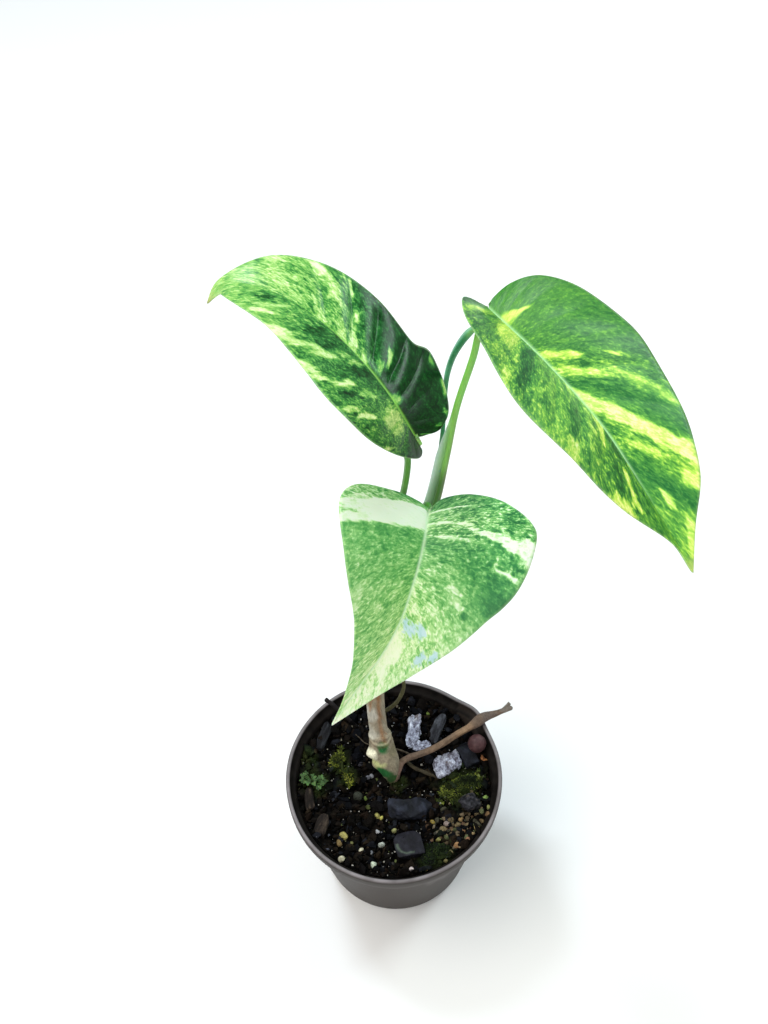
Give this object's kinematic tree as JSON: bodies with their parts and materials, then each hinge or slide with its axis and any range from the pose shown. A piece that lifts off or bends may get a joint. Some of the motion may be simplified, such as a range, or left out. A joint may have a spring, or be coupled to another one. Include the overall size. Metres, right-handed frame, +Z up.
{
  "type": "potted epipremnum pinnatum",
  "caption": "Young climbing aroid with three variegated heart-shaped leaves on a short cane, rooted in a small round plastic nursery pot of dark soil.",
  "frame": {"origin": "centre of the pot's flat underside, on the surface that the pot stands on", "axes": "+Z up out of the pot, -Y towards the front of the plant, where the heart-shaped leaf hangs over the rim, +X towards the leaf that points right"},
  "size_m": [0.1469, 0.1375, 0.3032],
  "materials": {
    "pot_plastic": "matte",
    "soil": "matte",
    "leaf": "satin",
    "petiole": "satin",
    "cane": "matte",
    "root": "matte",
    "bark": "matte",
    "charcoal": "matte",
    "clay": "matte",
    "moss": "matte"
  },
  "bodies": {
    "root": {"pot": "pot_plastic", "soil": "soil", "cane": "cane", "leaf_left_blade": "leaf", "leaf_left_petiole": "petiole", "leaf_front_blade": "leaf", "leaf_front_petiole": "petiole", "leaf_right_blade": "leaf", "leaf_right_petiole": "petiole", "young_shoot": "petiole", "aerial_root_dry": "root", "root_thin": "root", "root_olive": "root", "twig_dark": "bark", "bark_mouldy_left": "bark", "bark_mouldy_right": "bark", "bark_dark": "bark", "bark_grey_left": "bark", "bark_brown_left": "bark", "bark_brown_front": "bark", "charcoal_blue": "charcoal", "charcoal_lump": "charcoal", "charcoal_plate": "charcoal", "charcoal_round": "charcoal", "clay_ball": "clay", "moss_right": "moss", "moss_front": "moss", "moss_left": "moss", "moss_left_low": "moss", "seedling": "petiole"}
  },
  "joints": []
}
